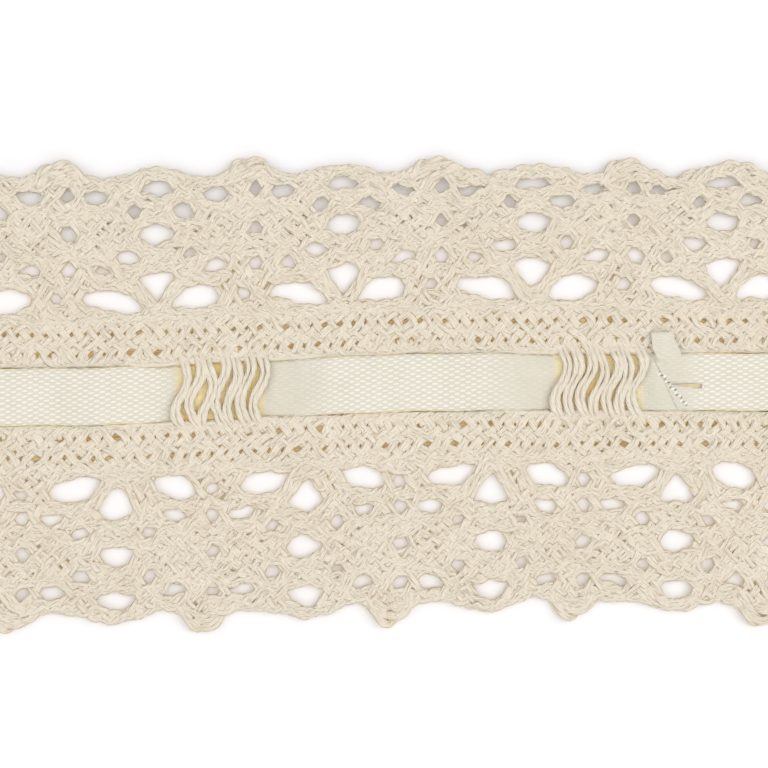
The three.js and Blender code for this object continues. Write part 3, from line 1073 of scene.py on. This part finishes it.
def is_inside(trims, middle):
    """Whether a place is within all the lines of an outline."""
    offsets = [(middle.xy - Vector(trim.point)).dot(Vector(trim.outward)) for trim in trims]
    return max(offsets) < 0


def end_cut(sign):
    """The slanting cut across the strip's end."""
    centre = float(ribbon_centre(sign * HALF_LENGTH))
    return Trim((sign * HALF_LENGTH + CUT_SLANT * centre, 0), (sign, -sign * CUT_SLANT))


def polygon_trims(corners):
    """One trim for each side of a convex outline whose corners are listed clockwise."""
    following = corners[1:] + corners[:1]
    return [Trim(a, (a[1] - b[1], b[0] - a[0])) for a, b in zip(corners, following)]


def bisect(shape, trim, clear_outer=False):
    """Divides a flat mesh along a trim's line, and may clear away what lies outside it."""
    bmesh.ops.bisect_plane(
        shape,
        geom=shape.verts[:] + shape.edges[:] + shape.faces[:],
        plane_co=(*trim.point, 0),
        plane_no=(*trim.outward, 0),
        clear_outer=clear_outer,
        dist=1e-5,
    )


def ribbon_piece(name, along, across, height, trims, highlight_fade_at, gold_shade, slits=()):
    """A strip of ribbon, trimmed, slit, laid at its height and given its thickness."""
    mesh = bpy.data.meshes.new(name)
    shape = bmesh.new()
    long_steps = int((along[1] - along[0]) / RIBBON_STEP)
    cross_steps = int((across[1] - across[0]) / RIBBON_STEP)
    bmesh.ops.create_grid(shape, x_segments=long_steps, y_segments=cross_steps, size=0.5)
    for vert in shape.verts:
        vert.co.x = along[0] + (vert.co.x + 0.5) * (along[1] - along[0])
        vert.co.y = across[0] + (vert.co.y + 0.5) * (across[1] - across[0])
    for trim in trims:
        bisect(shape, trim, clear_outer=True)
    for slit in slits:
        for trim in slit:
            bisect(shape, trim)
        cut_out = [f for f in shape.faces if is_inside(slit, f.calc_center_median())]
        bmesh.ops.delete(shape, geom=cut_out, context="FACES")
    weave = shape.loops.layers.uv.new("weave")
    for face in shape.faces:
        for loop in face.loops:
            loop[weave].uv = loop.vert.co.xy
    # How far the floats' painted highlight is faded, and how much painted golden shade lies on each
    # vertex
    layers = [shape.verts.layers.float.new("highlight_fade"), shape.verts.layers.float.new("gold_shade")]
    for vert in shape.verts:
        x, out = vert.co.x, vert.co.y
        vert[layers[0]] = float(highlight_fade_at(x))
        vert[layers[1]] = float(gold_shade(x))
        crown = RIBBON_CROWN * (1 - (2 * out / RIBBON_WIDTH) ** 2) if abs(out) < RIBBON_WIDTH / 2 else 0
        ripple = RIPPLE * math.sin(0.9 * x + 0.3 * out) + RIPPLE * math.sin(2.3 * x + 1.1)
        vert.co.y = out + float(ribbon_centre(x)) + SIDE_SWAY * math.sin(0.8 * x)
        vert.co.z = float(height(x, out)) + crown + ripple
    for vert in shape.verts:
        vert.co *= MM
    bmesh.ops.recalc_face_normals(shape, faces=shape.faces[:])
    if sum(face.normal.z for face in shape.faces) < 0:
        bmesh.ops.reverse_faces(shape, faces=shape.faces[:])
    bmesh.ops.solidify(shape, geom=shape.faces[:], thickness=RIBBON_THICKNESS * MM)
    bmesh.ops.recalc_face_normals(shape, faces=shape.faces[:])
    shape.to_mesh(mesh)
    shape.free()
    mesh.shade_smooth()
    piece = bpy.data.objects.new(name, mesh)
    bpy.context.scene.collection.objects.link(piece)
    return piece


FLOOR_WHITE = (0.75, 0.745, 0.755, 1)
FLOOR_GLOW = (0.97, 0.98, 1, 1)
FLOOR_GLOW_STRENGTH = 0.06


def make_floor():
    mesh = bpy.data.meshes.new("floor")
    shape = bmesh.new()
    bmesh.ops.create_grid(shape, x_segments=1, y_segments=1, size=1.5)
    shape.to_mesh(mesh)
    shape.free()
    floor = bpy.data.objects.new("floor", mesh)
    bpy.context.scene.collection.objects.link(floor)
    finish = Finish("floor_white")
    finish.surface(Base_Color=FLOOR_WHITE, Roughness=0.9, Specular_IOR_Level=0.1)
    finish.surface(Emission_Color=FLOOR_GLOW, Emission_Strength=FLOOR_GLOW_STRENGTH)
    mesh.materials.append(finish.material)


Softbox = namedtuple("Softbox", "name place size power")
SOFTBOXES = (
    Softbox("right_softbox", (0.5, 0.1, 0.55), 0.5, 2.0),
    Softbox("left_softbox", (-0.5, -0.1, 0.55), 0.5, 0.945),
    Softbox("front_softbox", (0.05, -0.5, 0.55), 0.5, 0.69),
    Softbox("top_softbox", (0.0, 0.1, 0.9), 0.6, 1.765),
)
SKY_STRENGTH = 0.685
LIGHT_BOUNCES = 5


def add_softbox(box):
    light = bpy.data.lights.new(box.name, "AREA")
    light.shape = "SQUARE"
    light.size = box.size
    light.energy = box.power
    holder = bpy.data.objects.new(box.name, light)
    holder.location = box.place
    towards_strip = Vector((0, 0, 0)) - Vector(box.place)
    holder.rotation_euler = towards_strip.to_track_quat("-Z", "Y").to_euler()
    bpy.context.scene.collection.objects.link(holder)


def make_studio():
    """A white table under four softboxes and a white sky."""
    make_floor()
    for box in SOFTBOXES:
        add_softbox(box)
    world = bpy.data.worlds.new("studio")
    world.use_nodes = True
    sky = world.node_tree.nodes["Background"]
    sky.inputs["Color"].default_value = (1, 1, 1, 1)
    sky.inputs["Strength"].default_value = SKY_STRENGTH
    bpy.context.scene.world = world
    bpy.context.scene.view_settings.view_transform = "Standard"
    bpy.context.scene.cycles.diffuse_bounces = LIGHT_BOUNCES


# The photo: its pixels are 0.1064 mm, and the strip's middle and the ribbon's are at these ones
PIXEL = 0.1064
PHOTO_SIDE = 768
STRIP_MIDDLE_PIXEL = 324
RIBBON_MIDDLE_PIXEL = 382
PHOTO_CENTRE = (
    (PHOTO_SIDE / 2 - STRIP_MIDDLE_PIXEL) * PIXEL,
    RIBBON_SETTLED[1] + (RIBBON_MIDDLE_PIXEL - PHOTO_SIDE / 2) * PIXEL,
)
CAMERA_LENS = 100
CAMERA_SENSOR = 36
SCALED_AT = 0.0012  # metres above the table, where a pixel has its size


def add_camera():
    camera = bpy.data.cameras.new("camera")
    camera.lens = CAMERA_LENS
    camera.sensor_width = CAMERA_SENSOR
    camera.clip_start = 0.01
    holder = bpy.data.objects.new("camera", camera)
    distance = PHOTO_SIDE * PIXEL * MM * camera.lens / camera.sensor_width
    holder.location = (PHOTO_CENTRE[0] * MM, PHOTO_CENTRE[1] * MM, distance + SCALED_AT)
    bpy.context.scene.collection.objects.link(holder)
    bpy.context.scene.camera = holder


def make_lace(cotton):
    """All the yarn of the lace. The threads are dealt out so that no piece has too many faces."""
    border = border_threads(1) + border_threads(-1)
    footing = footing_threads(1) + footing_threads(-1)
    carriers = carrier_threads(1) + carrier_threads(-1)
    loops = edge_loops(1) + edge_loops(-1)
    crossing = []
    for centre in OVER_GROUPS:
        crossing += group_threads(centre, True)
    for centre in UNDER_GROUPS:
        crossing += group_threads(centre, False)
    pieces = [
        yarn_piece("border_threads_a", border[0::3], 101),
        yarn_piece("border_threads_b", border[1::3], 102),
        yarn_piece("border_threads_c", border[2::3], 103),
        yarn_piece("footing_threads_a", footing[0::2], 111, FOOTING_RADIUS),
        yarn_piece("footing_threads_b", footing[1::2], 112, FOOTING_RADIUS),
        yarn_piece("carrier_threads", carriers, 113, CARRIER_RADIUS),
        yarn_piece("edge_loops", loops, 114),
        yarn_piece("crossing_threads", crossing, 115, GROUP_YARN_RADIUS),
    ]
    for piece in pieces:
        piece.data.materials.append(cotton)
        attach(piece, "root")
        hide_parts("lace")
    return pieces


def make_ribbons(weave):
    """The left-hand ribbon, the right-hand one and its tail."""
    half_width = (-RIBBON_WIDTH / 2, RIBBON_WIDTH / 2)
    left = ribbon_piece(
        "left_ribbon_weave",
        (-HALF_LENGTH - RIBBON_SPARE, LEFT_RIBBON_END),
        half_width,
        left_ribbon_height,
        [end_cut(-1)],
        left_highlight_fade,
        left_gold_shade,
    )
    right = ribbon_piece(
        "right_ribbon_weave",
        (RIGHT_RIBBON_START, HALF_LENGTH + RIBBON_SPARE),
        half_width,
        right_ribbon_height,
        [end_cut(1), RIGHT_CUT],
        right_highlight_fade,
        lambda x: 0.0,
        [polygon_trims(SLIT_CORNERS)],
    )
    tail = ribbon_piece(
        "right_ribbon_tail",
        TAIL_ALONG,
        TAIL_ACROSS,
        tail_height,
        polygon_trims(TAIL_CORNERS),
        lambda x: 1.0,
        lambda x: 0.0,
    )
    for piece, node in zip((left, right, tail), ("ribbon_left", "ribbon_right", "ribbon_right")):
        piece.data.materials.append(weave)
        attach(piece, "root")
        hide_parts(node)
    return left, right, tail


add_camera()
cotton = cotton_finish()
weave = ribbon_finish()
yarn_pieces = make_lace(cotton)
left_ribbon, right_ribbon, tail = make_ribbons(weave)

make_studio()
